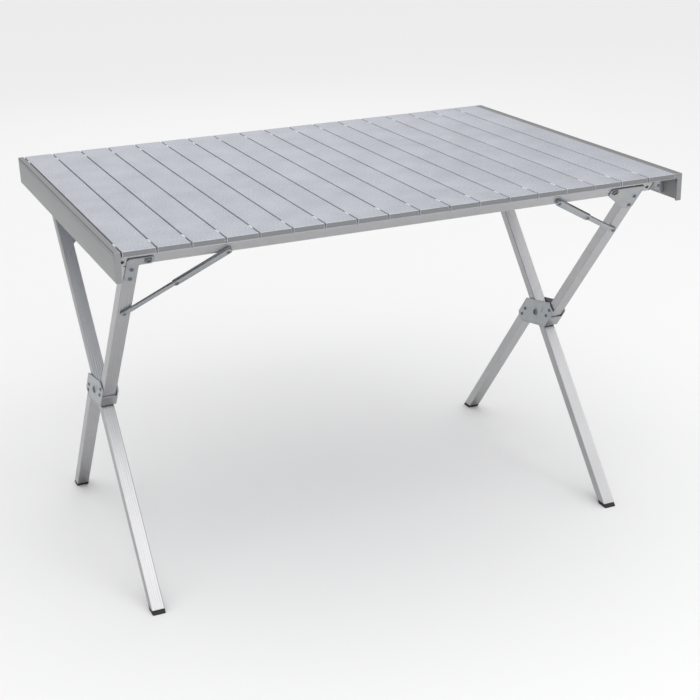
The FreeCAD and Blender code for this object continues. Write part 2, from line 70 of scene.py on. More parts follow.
def roundedLoop(corners, radii, arcPoints=5):
    # A closed outline whose corners are replaced by arcs tangent to both sides.
    points = np.array(corners, float)
    before = np.roll(points, 1, 0) - points
    after = np.roll(points, -1, 0) - points
    before /= np.linalg.norm(before, axis=1, keepdims=True)
    after /= np.linalg.norm(after, axis=1, keepdims=True)
    half = np.arccos(np.clip((before * after).sum(1), -1, 1)) / 2
    radius = np.broadcast_to(np.array(radii, float), half.shape)
    setback = radius / np.tan(half)
    t = np.linspace(0, 1, arcPoints)[None, :, None]
    start = (points + before * setback[:, None])[:, None]
    end = (points + after * setback[:, None])[:, None]
    bisector = before + after
    bisector /= np.linalg.norm(bisector, axis=1, keepdims=True)
    centre = (points + bisector * (radius / np.sin(half))[:, None])[:, None]
    spoke = (start + (end - start) * t) - centre
    spoke *= radius[:, None, None] / np.maximum(np.linalg.norm(spoke, axis=2, keepdims=True), tiny)
    return (centre + spoke).reshape(-1, 2)


def insetLoop(loop, distance):
    # Moves a closed outline inwards along the normal of each point.
    if not distance:
        return loop
    tangent = np.roll(loop, -1, 0) - np.roll(loop, 1, 0)
    tangent /= np.maximum(np.linalg.norm(tangent, axis=1, keepdims=True), tiny)
    x, y = loop[:, 0], loop[:, 1]
    turning = np.sign((x * np.roll(y, -1) - np.roll(x, -1) * y).sum())
    return loop + turning * distance * np.stack([-tangent[:, 1], tangent[:, 0]], 1)


def wallQuads(index):
    # Four-sided faces between each ring of point numbers and the next ring.
    lower, upper = index[:-1], index[1:]
    quads = np.stack([lower, np.roll(lower, -1, 1), np.roll(upper, -1, 1), upper], -1)
    return quads.reshape(-1, 4)


def skin(name, loops, along=None):
    # Joins outlines of equal count into one closed surface. Its map holds
    # millimetres: distance round the outline, then distance along the path.
    loops = np.array(loops, float)
    rows, count = loops.shape[:2]
    index = np.arange(rows * count).reshape(rows, count)
    caps = [index[0][::-1].tolist(), index[-1].tolist()]
    mesh = bpy.data.meshes.new(name)
    mesh.from_pydata(loops.reshape(-1, 3).tolist(), [], wallQuads(index).tolist() + caps)
    middle = loops[rows // 2]
    step = np.linalg.norm(np.roll(middle, -1, 0) - middle, axis=1) / mm
    across = np.concatenate([[0], np.cumsum(step)])
    up = np.arange(rows) if along is None else np.array(along, float)
    row = np.arange(rows - 1)[:, None]
    column = np.arange(count)[None, :]
    left, right = across[column], across[column + 1]
    u = np.stack([left, right, right, left], -1) + 0 * row[..., None]
    v = np.stack([up[row], up[row], up[row + 1], up[row + 1]], -1) + 0 * column[..., None]
    sides = np.stack([u, v], -1).reshape(-1, 2)
    first = np.stack([across[:count][::-1], np.full(count, up[0])], -1)
    last = np.stack([across[:count], np.full(count, up[-1])], -1)
    layer = mesh.uv_layers.new(name="span")
    layer.data.foreach_set("uv", np.concatenate([sides, first, last]).ravel())
    return finished(name, mesh)


def lathe(name, profile, places):
    # Turns a profile of radius and height about each place's own Z axis.
    profile = np.array(profile, float)
    segments = 20
    angle = np.linspace(0, 2 * math.pi, segments, endpoint=False)
    radius, height = profile[:, :1], profile[:, 1:]
    rings = np.stack([radius * np.cos(angle), radius * np.sin(angle), height + 0 * angle,
                      np.ones((len(profile), segments))], -1).reshape(-1, 4)
    points = np.einsum("kij,nj->kni", np.array(places), rings)[..., :3]
    index = np.arange(len(rings)).reshape(len(profile), segments)
    shift = (np.arange(len(places)) * len(rings))[:, None, None]
    walls = (wallQuads(index)[None] + shift).reshape(-1, 4)
    caps = (np.stack([index[0][::-1], index[-1]])[None] + shift).reshape(-1, segments)
    mesh = bpy.data.meshes.new(name)
    mesh.from_pydata((points * mm).reshape(-1, 3).tolist(), [], walls.tolist() + caps.tolist())
    mesh.uv_layers.new(name="span")
    return finished(name, mesh)


def finished(name, mesh):
    # Faces outward, smooth shading, and crisp edges past an angle.
    sharpDegrees = 34
    work = bmesh.new()
    work.from_mesh(mesh)
    bmesh.ops.recalc_face_normals(work, faces=work.faces)
    work.to_mesh(mesh)
    work.free()
    mesh.polygons.foreach_set("use_smooth", np.ones(len(mesh.polygons), bool))
    mesh.set_sharp_from_angle(angle=math.radians(sharpDegrees))
    piece = bpy.data.objects.new(name, mesh)
    bpy.context.collection.objects.link(piece)
    return piece


def joined(name, pieces):
    # Several pieces become one object.
    bpy.ops.object.select_all(action="DESELECT")
    for piece in pieces:
        piece.select_set(True)
    bpy.context.view_layer.objects.active = pieces[0]
    bpy.ops.object.join()
    whole = bpy.context.view_layer.objects.active
    whole.name = name
    whole.data.name = name
    whole.select_set(False)
    return whole


def settle(piece, body, material, nodes):
    # Gives a piece its finish and its body, and hides the CAD nodes it stands for.
    piece.data.materials.clear()
    piece.data.materials.append(material)
    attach(piece, body)
    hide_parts(*nodes)


def boxMm(nodeName):
    # A node's lowest and highest corners at rest, in millimetres.
    low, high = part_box(nodeName)
    return np.array(low) / mm, np.array(high) / mm


def ladderPoint(side, points):
    # From a ladder frame drawn upright about the hub line to its place when
    # open. side is 1 for the near ladder and -1 for the far one.
    points = np.array(points, float)
    angle = openAngle * side
    x, y, z = points[..., 0], points[..., 1], points[..., 2]
    return np.stack([x, y * math.cos(angle) - z * math.sin(angle),
                     hubHeight + y * math.sin(angle) + z * math.cos(angle)], -1)


def pointing(at, outward):
    # A placement in millimetres whose own Z axis points outward.
    nearlyUpright = 0.9
    z = np.array(outward, float)
    z /= np.linalg.norm(z)
    x = np.cross(z, (0, 0, 1.0) if abs(z[2]) < nearlyUpright else (1.0, 0, 0))
    x /= np.linalg.norm(x)
    place = np.eye(4)
    place[:3, 0], place[:3, 1], place[:3, 2], place[:3, 3] = x, np.cross(z, x), z, at
    return place


def ladderPlace(side, at, outward):
    # The same, given in a ladder frame's own axes.
    start = ladderPoint(side, np.array(at) * mm) / mm
    end = ladderPoint(side, (np.array(at) + np.array(outward)) * mm) / mm
    return pointing(start, end - start)


# Profiles of radius and height for the turned pieces, in millimetres. The
# hollow in each head is the hole that a blind rivet's pin leaves.
rivetShape = [(3.6, -0.4), (3.6, 0.2), (3.3, 0.7), (2.6, 1.15),
              (1.75, 1.4), (1.4, 1.3), (1.25, 0.4), (0.4, 0.3)]
pivotShape = [(6.5, -0.4), (6.5, 0.9), (6.1, 1.6), (5.3, 2.0),
              (3.9, 2.0), (3.5, 1.6), (3.4, 0.5), (0.8, 0.4)]
bossShape = [(11.0, -0.3), (11.0, 0.0), (10.4, 0.4), (9.6, 0.5), (8.0, 0.5)]
screwShape = [(3.2, -0.3), (3.2, 0.3), (2.7, 0.8), (1.6, 1.0), (1.2, 0.9), (0.9, 0.3), (0.3, 0.3)]


def toLinear(hexColour):
    # sRGB hex to the linear colour that the shader takes.
    values = [int(hexColour[i:i + 2], 16) / 255 for i in (0, 2, 4)]
    linear = [v / 12.92 if v <= 0.04045 else ((v + 0.055) / 1.055) ** 2.4 for v in values]
    return (*linear, 1.0)


def addNode(tree, kind, settings=None, inputs=None, links=None):
    # Adds one node with its settings, its input values and its links.
    node = tree.nodes.new(kind)
    for key, value in (settings or {}).items():
        setattr(node, key, value)
    for key, value in (inputs or {}).items():
        node.inputs[key].default_value = value
    for key, source in (links or {}).items():
        tree.links.new(source, node.inputs[key])
    return node


def startMaterial(name, colour, metallic, roughness):
    # A material with its plain values set, and its tree and shader to add to.
    material = bpy.data.materials.new(name)
    material.use_nodes = True
    tree = material.node_tree
    shader = tree.nodes["Principled BSDF"]
    shader.inputs["Base Color"].default_value = toLinear(colour)
    shader.inputs["Metallic"].default_value = metallic
    shader.inputs["Roughness"].default_value = roughness
    material.diffuse_color = toLinear(colour)
    return material, tree, shader


def extrudedAluminium(name, look):
    # Anodised 6063 extrusion: a satin metal with faint die lines along its
    # length, a fine etched grain, and slow changes of tone.
    shared = {"lineStretch": 0.004, "grainStretch": 0.6, "smoother": 0.06, "rougher": 0.08,
              "grainLow": 0.25, "grainHigh": 0.75, "cloudLow": 0.35, "cloudHigh": 0.65,
              "bumpMetres": 0.0002}
    material, tree, shader = startMaterial(name, look["colour"], look["metallic"],
                                           look["roughness"])
    place = addNode(tree, "ShaderNodeUVMap", {"uv_map": "span"})
    lines = addNode(tree, "ShaderNodeMapping",
                    inputs={"Scale": (1 / look["lineMm"], shared["lineStretch"], 1)},
                    links={"Vector": place.outputs["UV"]})
    dieLines = addNode(tree, "ShaderNodeTexNoise", {"noise_dimensions": "2D"},
                       {"Scale": 1.0, "Detail": 3.0, "Roughness": 0.6},
                       {"Vector": lines.outputs["Vector"]})
    grainScale = (1 / look["grainMm"], shared["grainStretch"] / look["grainMm"], 1)
    grainPlace = addNode(tree, "ShaderNodeMapping", inputs={"Scale": grainScale},
                         links={"Vector": place.outputs["UV"]})
    grain = addNode(tree, "ShaderNodeTexNoise", {"noise_dimensions": "2D"},
                    {"Scale": 1.0, "Detail": 2.0, "Roughness": 0.7},
                    {"Vector": grainPlace.outputs["Vector"]})
    objectPlace = addNode(tree, "ShaderNodeTexCoord")
    cloud = addNode(tree, "ShaderNodeTexNoise",
                    inputs={"Scale": 1000 / look["cloudMm"], "Detail": 2.0},
                    links={"Vector": objectPlace.outputs["Object"]})
    mixed = addNode(tree, "ShaderNodeMath", {"operation": "MULTIPLY_ADD"},
                    {1: look["cloudShare"]},
                    {0: cloud.outputs["Fac"], 2: grain.outputs["Fac"]})
    darkest = shared["grainLow"] + shared["cloudLow"] * look["cloudShare"]
    lightest = shared["grainHigh"] + shared["cloudHigh"] * look["cloudShare"]
    tone = addNode(tree, "ShaderNodeMapRange",
                   inputs={"From Min": darkest, "From Max": lightest},
                   links={"Value": mixed.outputs["Value"]})
    blend = addNode(tree, "ShaderNodeMix", {"data_type": "RGBA"},
                    {"A": toLinear(look["dark"]), "B": toLinear(look["light"])},
                    {"Factor": tone.outputs["Result"]})
    tree.links.new(blend.outputs["Result"], shader.inputs["Base Color"])
    rough = addNode(tree, "ShaderNodeMapRange",
                    inputs={"To Min": look["roughness"] - shared["smoother"],
                            "To Max": look["roughness"] + shared["rougher"]},
                    links={"Value": dieLines.outputs["Fac"]})
    tree.links.new(rough.outputs["Result"], shader.inputs["Roughness"])
    height = addNode(tree, "ShaderNodeMath", {"operation": "MULTIPLY_ADD"},
                     {1: look["grainShare"]},
                     {0: grain.outputs["Fac"], 2: dieLines.outputs["Fac"]})
    bump = addNode(tree, "ShaderNodeBump",
                   inputs={"Strength": look["bump"], "Distance": shared["bumpMetres"]},
                   links={"Height": height.outputs["Value"]})
    tree.links.new(bump.outputs["Normal"], shader.inputs["Normal"])
    return material


def zincPlate():
    # Bright zinc on pressed steel: a clear blue cast with straw patches, and
    # soft rolling marks under the plating.
    look = {"colour": "A9ADB1", "cool": "A3A9AF", "warm": "B0B0AF", "metallic": 1.0,
            "roughness": 0.36, "smooth": 0.3, "rough": 0.46, "patchMm": 22, "grainMm": 0.9,
            "bump": 0.25, "bumpMetres": 0.0001}
    material, tree, shader = startMaterial("Bright zinc plated steel", look["colour"],
                                           look["metallic"], look["roughness"])
    place = addNode(tree, "ShaderNodeTexCoord")
    patch = addNode(tree, "ShaderNodeTexNoise",
                    inputs={"Scale": 1000 / look["patchMm"], "Detail": 3.0},
                    links={"Vector": place.outputs["Object"]})
    spread = addNode(tree, "ShaderNodeMapRange", inputs={"From Min": 0.35, "From Max": 0.65},
                     links={"Value": patch.outputs["Fac"]})
    blend = addNode(tree, "ShaderNodeMix", {"data_type": "RGBA"},
                    {"A": toLinear(look["cool"]), "B": toLinear(look["warm"])},
                    {"Factor": spread.outputs["Result"]})
    tree.links.new(blend.outputs["Result"], shader.inputs["Base Color"])
    grain = addNode(tree, "ShaderNodeTexNoise",
                    inputs={"Scale": 1000 / look["grainMm"], "Detail": 2.0},
                    links={"Vector": place.outputs["Object"]})
    rough = addNode(tree, "ShaderNodeMapRange",
                    inputs={"To Min": look["smooth"], "To Max": look["rough"]},
                    links={"Value": patch.outputs["Fac"]})
    tree.links.new(rough.outputs["Result"], shader.inputs["Roughness"])
    bump = addNode(tree, "ShaderNodeBump",
                   inputs={"Strength": look["bump"], "Distance": look["bumpMetres"]},
                   links={"Height": grain.outputs["Fac"]})
    tree.links.new(bump.outputs["Normal"], shader.inputs["Normal"])
    return material


def rivetMetal():
    # Plain steel rivets, duller than the plating round them, and coloured darker as painted shade
    # for the dark holes that their pins leave.
    look = {"colour": "6E7276", "worn": "85888B", "metallic": 1.0, "roughness": 0.42,
            "smooth": 0.34, "rough": 0.52, "grainMm": 1.2}
    material, tree, shader = startMaterial("Dull steel rivets with painted hole shade", look["colour"],
                                           look["metallic"], look["roughness"])
    place = addNode(tree, "ShaderNodeTexCoord")
    grain = addNode(tree, "ShaderNodeTexNoise",
                    inputs={"Scale": 1000 / look["grainMm"], "Detail": 2.0},
                    links={"Vector": place.outputs["Object"]})
    blend = addNode(tree, "ShaderNodeMix", {"data_type": "RGBA"},
                    {"A": toLinear(look["colour"]), "B": toLinear(look["worn"])},
                    {"Factor": grain.outputs["Fac"]})
    tree.links.new(blend.outputs["Result"], shader.inputs["Base Color"])
    rough = addNode(tree, "ShaderNodeMapRange",
                    inputs={"To Min": look["smooth"], "To Max": look["rough"]},
                    links={"Value": grain.outputs["Fac"]})
    tree.links.new(rough.outputs["Result"], shader.inputs["Roughness"])
    return material


def mouldedPlastic(name, look):
    # Moulded plastic or rubber: an even colour with a spark-eroded texture.
    shared = {"smoother": 0.08, "rougher": 0.1, "bump": 0.35, "bumpMetres": 0.0002}
    material, tree, shader = startMaterial(name, look["colour"], 0.0, look["roughness"])
    place = addNode(tree, "ShaderNodeTexCoord")
    grain = addNode(tree, "ShaderNodeTexNoise",
                    inputs={"Scale": 1000 / look["grainMm"], "Detail": 3.0},
                    links={"Vector": place.outputs["Object"]})
    blend = addNode(tree, "ShaderNodeMix", {"data_type": "RGBA"},
                    {"A": toLinear(look["colour"]), "B": toLinear(look["worn"])},
                    {"Factor": grain.outputs["Fac"]})
    tree.links.new(blend.outputs["Result"], shader.inputs["Base Color"])
    rough = addNode(tree, "ShaderNodeMapRange",
                    inputs={"To Min": look["roughness"] - shared["smoother"],
                            "To Max": look["roughness"] + shared["rougher"]},
                    links={"Value": grain.outputs["Fac"]})
    tree.links.new(rough.outputs["Result"], shader.inputs["Roughness"])
    bump = addNode(tree, "ShaderNodeBump",
                   inputs={"Strength": shared["bump"], "Distance": shared["bumpMetres"]},
                   links={"Height": grain.outputs["Fac"]})
    tree.links.new(bump.outputs["Normal"], shader.inputs["Normal"])
    return material


# The slats' etched grain is drawn coarser than the real one, so that it shows.
slatMetal = extrudedAluminium("Etched anodised slat aluminium", {
    "colour": "BFC2C9", "dark": "AEB1B9", "light": "D5D8DF", "metallic": 1.0, "roughness": 0.55,
    "lineMm": 2.2, "grainMm": 2.4, "grainShare": 2.5, "cloudMm": 60, "cloudShare": 0.35,
    "bump": 0.8})
# The aprons are a finer satin whose colour is darker than the slats' as painted shade for the dim
# light on their outer faces, and the tubes a smoother one.
skirtMetal = extrudedAluminium("Anodised apron aluminium with painted side shade", {
    "colour": "9A9B9C", "dark": "949596", "light": "A1A2A3", "metallic": 1.0, "roughness": 0.42,
    "lineMm": 1.6, "grainMm": 0.9, "grainShare": 0.7, "cloudMm": 90, "cloudShare": 0.4,
    "bump": 0.3})
tubeMetal = extrudedAluminium("Anodised tube aluminium", {
    "colour": "B4B4B5", "dark": "ADADAE", "light": "BEBEC0", "metallic": 1.0, "roughness": 0.36,
    "lineMm": 1.1, "grainMm": 0.8, "grainShare": 0.5, "cloudMm": 70, "cloudShare": 0.4,
    "bump": 0.4})
zincSteel = zincPlate()
rivetSteel = rivetMetal()
# Black rubber with a matt bloom; grey end plugs near the metal's tone; pale
# nylon joiners that catch the light in the gaps.
blackRubber = mouldedPlastic("Moulded black rubber", {
    "colour": "0B0B0C", "worn": "1B1B1C", "roughness": 0.6, "grainMm": 0.7})
greyNylon = mouldedPlastic("Grey moulded end plug", {
    "colour": "77787A", "worn": "828385", "roughness": 0.55, "grainMm": 0.7})
paleNylon = mouldedPlastic("Pale moulded nylon", {
    "colour": "D9DADC", "worn": "E6E6E8", "roughness": 0.45, "grainMm": 0.6})
print("materials made")

# Every CAD node gets a finish, whether or not a detailed piece replaces it.
finishes = {"slat_aluminium": slatMetal, "skirt_aluminium": skirtMetal,
            "tube_aluminium": tubeMetal, "zinc_steel": zincSteel, "rivet_steel": rivetSteel,
            "joiner_plastic": paleNylon, "black_plug": blackRubber}
slotOf = {part["node"]: part["material_slot"] for part in record["subparts"]}
for nodeName, nodeObject in frame["nodes"].items():
    nodeObject.data.materials.clear()
    nodeObject.data.materials.append(finishes[slotOf[nodeName]])


def spanLoft(name, outline, ends):
    # Sweeps an outline in X and Z straight along Y. Each station is an inset
    # and a place along Y, in millimetres.
    loops = []
    for inset, place in ends:
        flat = insetLoop(outline, inset)
        loops.append(np.stack([flat[:, 0], np.full(len(flat), place), flat[:, 1]], 1))
    return skin(name, np.array(loops) * mm, [place for inset, place in ends])


def boxLoop(low, high, radius, arcPoints=5):
    # The rounded outline in X and Z of a box given by two corners.
    corners = [(low[0], low[2]), (high[0], low[2]), (high[0], high[2]), (low[0], high[2])]
    return roundedLoop(corners, radius, arcPoints)


def makeSlats():
    # A slat is a hollow extrusion with softened edges. Its ends turn in to the
    # bore, where a plug is set back a little.
    slat = {"edge": 1.2, "bevel": 0.35, "wall": 0.9, "plugInset": 0.6, "turn": 0.2, "lip": 0.05}
    plug = {"play": 0.05, "deep": 0.9, "shoulder": 0.4, "face": 0.15, "soft": 0.25}
    bore, bevel, inset = slat["wall"], slat["bevel"], slat["plugInset"]
    for number in range(1, slatCount + 1):
        low, high = boxMm(f"slat_{number:02d}")
        near, far = low[1], high[1]
        outline = boxLoop(low, high, slat["edge"])
        ends = [(bore + slat["turn"], near + inset), (bore, near + inset),
                (bore, near + slat["lip"]), (bevel, near), (0, near + bevel),
                (0, far - bevel), (bevel, far), (bore, far - slat["lip"]),
                (bore, far - inset), (bore + slat["turn"], far - inset)]
        piece = spanLoft(f"Slat_{number:02d}", outline, ends)
        settle(piece, f"top_{number:02d}", slatMetal, [f"slat_{number:02d}"])

        inner = insetLoop(outline, bore - plug["play"])
        plugs = [spanLoft("part", inner, [(0, edge + way * plug["deep"]),
                                          (0, edge + way * plug["shoulder"]),
                                          (plug["soft"], edge + way * plug["face"])])
                 for edge, way in ((near, 1), (far, -1))]
        settle(joined(f"Slat_plugs_{number:02d}", plugs), f"top_{number:02d}", greyNylon,
               [])


def makeJoiners():
    # Two short blocks in each gap, rounded at both ends.
    joiner = {"wide": 16, "edge": 0.5, "arcPoints": 4, "endInset": 0.7, "soft": 0.2,
              "taper": 0.8}
    endInset, soft, taper = joiner["endInset"], joiner["soft"], joiner["taper"]
    for number in range(1, slatCount + 1):
        low, high = boxMm(f"joiner_{number:02d}")
        outline = boxLoop(low, high, joiner["edge"], joiner["arcPoints"])
        pair = []
        for side in (-1, 1):
            middle = side * (high[1] - joiner["wide"] / 2)
            near = middle - joiner["wide"] / 2
            far = middle + joiner["wide"] / 2
            ends = [(endInset, near), (soft, near + soft), (0, near + taper),
                    (0, far - taper), (soft, far - soft), (endInset, far)]
            pair.append(spanLoft("part", outline, ends))
        settle(joined(f"Joiner_{number:02d}", pair), f"top_{number:02d}", paleNylon,
               [f"joiner_{number:02d}"])


def makeSkirts():
    # An apron is a profile carried along Y: a rim level with the slats, a wall
    # with a fine groove below the rim, and a return across each end.
    skirt = {"wall": 4, "edge": 2.2, "rimEdge": 0.8, "rimUnder": 0.4, "wallRoot": 0.6,
             "wallEdge": 0.9, "bevel": 0.4, "return": 10, "returnRise": 1, "hairline": 0.1,
             "arcPoints": 4}
    groove = {"at": 5.2, "deep": 0.5, "wide": 1.3, "slope": 0.3, "edge": 0.12}
    hair, bevel = skirt["hairline"], skirt["bevel"]
    for word, inward, body in (("left", 1, "apron_left"), ("right", -1, f"top_{slatCount:02d}")):
        low, high = boxMm(f"skirt_{word}")
        outer = low[0] if inward > 0 else high[0]
        rim = high[0] - low[0]
        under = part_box("slat_01")[0][2] / mm
        top, bottom = high[2], low[2]
        near, far = low[1], high[1]
        grooveTop = top - groove["at"]
        grooveLow = grooveTop - groove["wide"]
        shape = [(0, top, skirt["edge"]), (rim, top, skirt["rimEdge"]),
                 (rim, under, skirt["rimUnder"]), (skirt["wall"], under, skirt["wallRoot"]),
                 (skirt["wall"], bottom, skirt["wallEdge"]), (0, bottom, skirt["wallEdge"]),
                 (0, grooveLow, groove["edge"]),
                 (groove["deep"], grooveLow + groove["slope"], groove["edge"]),
                 (groove["deep"], grooveTop - groove["slope"], groove["edge"]),
                 (0, grooveTop, groove["edge"])]
        corners = [(outer + inward * x, z) for x, z, radius in shape]
        outline = roundedLoop(corners, [radius for x, z, radius in shape])
        ends = [(bevel, near + hair), (0, near + hair + bevel),
                (0, far - hair - bevel), (bevel, far - hair)]
        parts = [spanLoft("part", outline, ends)]

        # A return closes each end of the wall and runs up into the rim. It
        # stands a hairline proud of the wall's end.
        left, right = sorted([outer + inward * hair, outer + inward * skirt["return"]])
        foot, head = bottom + hair, under + skirt["returnRise"]
        flap = roundedLoop([(left, foot), (right, foot), (right, head), (left, head)],
                           bevel, skirt["arcPoints"])
        for edge, way in ((near, 1), (far, -1)):
            first, last = sorted([edge, edge + way * skirt["wall"]])
            parts.append(spanLoft("part", flap, [(bevel / 2, first), (0, first + bevel / 2),
                                                 (0, last - bevel / 2), (bevel / 2, last)]))
        settle(joined(f"Apron_{word}", parts), body, skirtMetal,
               [f"skirt_{word}"])


def makeCatches():
    # An angle bracket beside each rail end: its L is carried straight up, and
    # two rivets hold its back to the apron.
    catch = {"wall": 1.6, "flange": 8, "wide": 26, "rivetAt": 8, "rivetAcross": 14, "bevel": 0.3,
             "radii": [0.3, 0.7, 0.7, 0.6, 0.7, 0.3], "arcPoints": 4}
    thick, bevel = catch["wall"], catch["bevel"]
    for word, inward, body in (("left", 1, "apron_left"), ("right", -1, f"top_{slatCount:02d}")):
        low, high = boxMm(f"catches_{word}")
        wall = low[0] if inward > 0 else high[0]
        parts = []
        spots = []
        for side in (-1, 1):
            edge = side * high[1]
            bends = [(0, 0), (catch["flange"], 0), (catch["flange"], thick),
                     (thick, thick), (thick, catch["wide"]), (0, catch["wide"])]
            corners = [(wall + inward * x, edge - side * y) for x, y in bends]
            outline = roundedLoop(corners, catch["radii"], catch["arcPoints"])
            loops = []
            for inset, z in ((bevel, low[2]), (0, low[2] + bevel), (0, high[2] - bevel),
                             (bevel, high[2])):
                flat = insetLoop(outline, inset)
                loops.append(np.column_stack([flat, np.full(len(flat), z)]))
            parts.append(skin("part", np.array(loops) * mm, [low[2], low[2], high[2], high[2]]))
            for z in (low[2] + catch["rivetAt"], high[2] - catch["rivetAt"]):
                at = (wall + inward * thick, edge - side * catch["rivetAcross"], z)
                spots.append(pointing(at, (inward, 0, 0)))
        parts.append(lathe("part", rivetShape, spots))
        settle(joined(f"Catches_{word}", parts), body, zincSteel,
               [f"catches_{word}"])


makeSlats()
makeJoiners()
makeSkirts()
makeCatches()
print("top made")


def ribbedLoop(wide, thick, radius, ribs, depth):
    # A rounded rectangle whose flat sides carry shallow lengthwise ribs: the
    # wall dips by a raised cosine of the place across each side.
    pointsPerRib, cornerPoints = 6, 6
    place = np.linspace(-1, 1, pointsPerRib * ribs + 1)
    dip = depth * (0.5 - 0.5 * np.cos(math.pi * ribs * (place + 1)))
    halfWide, halfThick = wide / 2, thick / 2
    x, y = halfWide - radius, halfThick - radius
    corners = [arc(x, -y, radius, -90, 0, cornerPoints), arc(x, y, radius, 0, 90, cornerPoints),
               arc(-x, y, radius, 90, 180, cornerPoints),
               arc(-x, -y, radius, 180, 270, cornerPoints)]
    sides = [np.stack([place * x, dip - halfThick], 1), np.stack([halfWide - dip, place * y], 1),
             np.stack([-place * x, halfThick - dip], 1),
             np.stack([dip - halfWide, -place * y], 1)]
    return np.concatenate([part for side, corner in zip(sides, corners)
                           for part in (side, corner[1:-1])])


tube = {"thick": 20, "edge": 1.8, "ribs": 5, "ribDeep": 0.35, "wall": 1.3, "seen": 16,
        "lip": 0.05, "bevel": 0.25, "round": 0.3, "spread": 30}


def alongLeg(side, centreX, centreY, outline, stations):
    # Places outlines across a leg. A station is an inset, a shift up the leg,
    # and either a place along it or a level that the end is cut to.
    angle = openAngle * side
    loops = []
    for inset, shift, place, level in stations:
        flat = insetLoop(outline, inset)
        y = flat[:, 1] + centreY
        if level is None:
            up = np.full(len(flat), place)
        else:
            up = (level - hubMm - y * math.sin(angle)) / math.cos(angle)
        loops.append(np.column_stack([flat[:, 0] + centreX, y, up + shift]))
    return np.array(loops)


def tubeStations(lowPlace, lowLevel, highPlace):
    # From the bore at the lower end, over the outside, to the bore at the top.
    wall, seen, lip = tube["wall"], tube["seen"], tube["lip"]
    bevel, turn = tube["bevel"], tube["round"]
    return [(wall, seen, lowPlace, lowLevel), (wall, lip, lowPlace, lowLevel),
            (bevel, 0, lowPlace, lowLevel), (0, turn, lowPlace, lowLevel),
            (0, -turn, highPlace, None), (bevel, 0, highPlace, None),
            (wall, -lip, highPlace, None), (wall, -seen, highPlace, None)]


def makeLeg(name, side, nodeName, centreY, body, lowPlace, lowLevel, highPlace):
    # A ribbed tube whose lower end is cut at a place or level with the floor.
    low, high = boxMm(nodeName)
    outline = ribbedLoop(high[0] - low[0], tube["thick"], tube["edge"], tube["ribs"],
                         tube["ribDeep"])
    loops = alongLeg(side, (low[0] + high[0]) / 2, centreY, outline,
                     tubeStations(lowPlace, lowLevel, highPlace))
    piece = skin(name, ladderPoint(side, loops * mm), loops[:, :, 2].mean(1))
    settle(piece, body, tubeMetal, [nodeName])


def makeLegs():
    leg = {"gap": 20, "nearTop": 455, "farTop": 429.7, "cut": 7}
    for word in ("left", "right"):
        makeLeg(f"Leg_B_{word}_upper", 1, f"leg_b_{word}_upper", -tube["spread"],
                "near_frame", leg["gap"], None, leg["nearTop"])
        makeLeg(f"Leg_B_{word}_lower", 1, f"leg_b_{word}_lower", tube["spread"],
                "near_frame", None, leg["cut"], -leg["gap"])
        makeLeg(f"Leg_A_{word}", -1, f"leg_a_{word}", 0,
                "far_frame", None, leg["cut"], leg["farTop"])


def makeFeet():
    # A foot is the leg's outline carried down to the floor, with a tongue up
    # inside the tube and a groove round its side.
    foot = {"cut": 7, "edge": 1.8, "tongue": 1.6, "rise": 2}
    cut, tongue = foot["cut"], foot["tongue"]
    profile = [(0, 6.6), (0, 5.6), (0.3, 5.2), (0.3, 4.6), (0, 4.2), (0, 0.8),
               (0.2, 0.2), (0.8, 0)]
    stations = [(tongue, foot["rise"], None, cut), (tongue, 0, None, cut), (0.1, 0, None, cut)]
    stations += [(inset, 0, None, level) for inset, level in profile]
    for nodeName, way, centreY, body, legName in (
            ("far_feet", 1, tube["spread"], "near_frame", "leg_b_{}_lower"),
            ("near_feet", -1, 0, "far_frame", "leg_a_{}")):
        parts = []
        for word in ("left", "right"):
            low, high = boxMm(legName.format(word))
            outline = ribbedLoop(high[0] - low[0], tube["thick"], foot["edge"], 1, 0)
            loops = alongLeg(way, (low[0] + high[0]) / 2, centreY, outline, stations)
            parts.append(skin("part", ladderPoint(way, loops * mm), loops[:, :, 2].mean(1)))
        settle(joined(nodeName.capitalize(), parts), body, blackRubber,
               [nodeName])


def makeRails():
    # The legs' ribbed tube laid along X, and a plug with a crowned head in
    # each end, held by one screw.
    rail = {"nearUp": 469.1, "farUp": 443.8, "wide": 25, "screwIn": 8}
    head = [(1.7, -3), (1.7, 0), (0.15, 0), (0, 0.3), (0, 1.5), (0.3, 2.1), (0.9, 2.5)]
    wall, seen, bevel, turn = tube["wall"], tube["seen"], tube["bevel"], tube["round"]
    for word, side, offset, up, body in (
            ("near", 1, -tube["spread"], rail["nearUp"], "near_frame"),
            ("far", -1, 0, rail["farUp"], "far_frame")):
        low, high = boxMm(f"{word}_rail")
        outline = ribbedLoop(tube["thick"], rail["wide"], tube["edge"], tube["ribs"],
                             tube["ribDeep"])
        outline = outline + np.array([offset, up])
        ends = [(wall, low[0] + seen), (wall, low[0]), (bevel, low[0]), (0, low[0] + turn),
                (0, high[0] - turn), (bevel, high[0]), (wall, high[0]), (wall, high[0] - seen)]
        loops = []
        for inset, x in ends:
            flat = insetLoop(outline, inset)
            loops.append(np.column_stack([np.full(len(flat), x), flat]))
        piece = skin(f"Rail_{word}", ladderPoint(side, np.array(loops) * mm),
                     [x for inset, x in ends])
        settle(piece, body, tubeMetal, [f"{word}_rail"])

        parts = []
        for end, outward in ((low[0], -1), (high[0], 1)):
            loops = []
            for inset, out in head:
                flat = insetLoop(outline, inset)
                loops.append(np.column_stack([np.full(len(flat), end + outward * out), flat]))
            parts.append(skin("part", ladderPoint(side, np.array(loops) * mm)))
            face = -side * tube["thick"] / 2 + offset
            spot = ladderPlace(side, (end - outward * rail["screwIn"], face, up), (0, -side, 0))
            parts.append(lathe("part", screwShape, [spot]))
        settle(joined(f"Rail_plugs_{word}", parts), body, blackRubber,
               [f"{word}_rail_plugs"])


makeLegs()
makeFeet()
makeRails()
print("tubes made")


